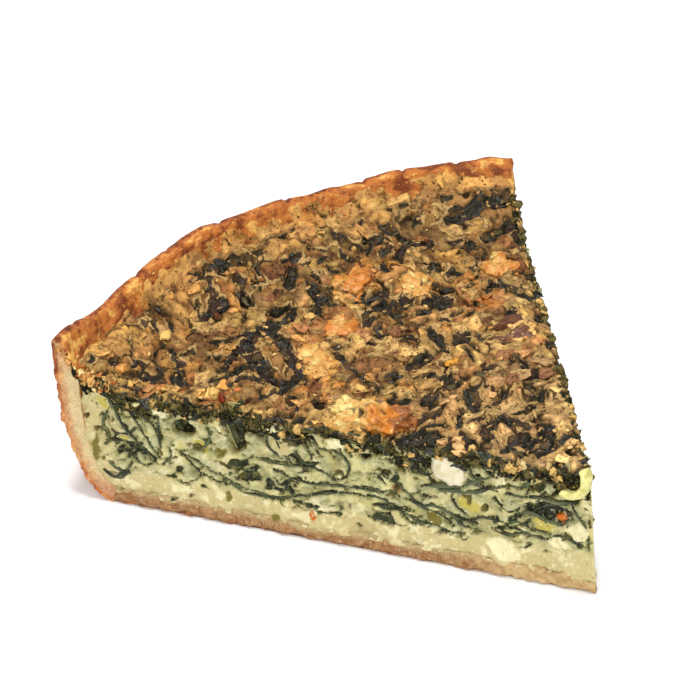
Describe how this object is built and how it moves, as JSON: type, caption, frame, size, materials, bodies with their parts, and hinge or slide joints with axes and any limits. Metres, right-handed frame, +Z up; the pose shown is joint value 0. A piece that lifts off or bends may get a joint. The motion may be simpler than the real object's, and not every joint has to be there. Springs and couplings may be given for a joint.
{
  "type": "spinach quiche slice",
  "caption": "Wedge cut from a deep round spinach quiche: a pastry base and curved rim round a thick green-flecked custard with a browned, uneven top.",
  "frame": {"origin": "centre of the bounding box, at the underside of the pastry", "axes": "+Z up, +Y from the slice's tip towards its rim, +X from the left cut side towards the right one"},
  "size_m": [0.1381, 0.1303, 0.0424],
  "materials": {
    "pastry": "baked shortcrust, granular, golden to reddish brown outside and pale pinkish cream where cut",
    "custard": "set egg custard full of spinach, pale yellow-green with dark strands where cut, browned and leathery with dark leaf patches on top",
    "browned_cheese": "toasted cheese, orange brown, slightly oily",
    "white_cheese": "crumbly white cheese, dull",
    "leek": "soft cooked leek, moist, yellow-green"
  },
  "bodies": {
    "root": {"crust": "pastry", "filling": "custard", "cheese_front": "browned_cheese", "cheese_back": "browned_cheese", "cheese_middle": "browned_cheese", "cheese_left": "browned_cheese", "cheese_small": "browned_cheese", "cheese_right": "browned_cheese", "cheese_far": "browned_cheese", "feta_cube": "white_cheese", "leek_curl": "leek"}
  },
  "joints": []
}
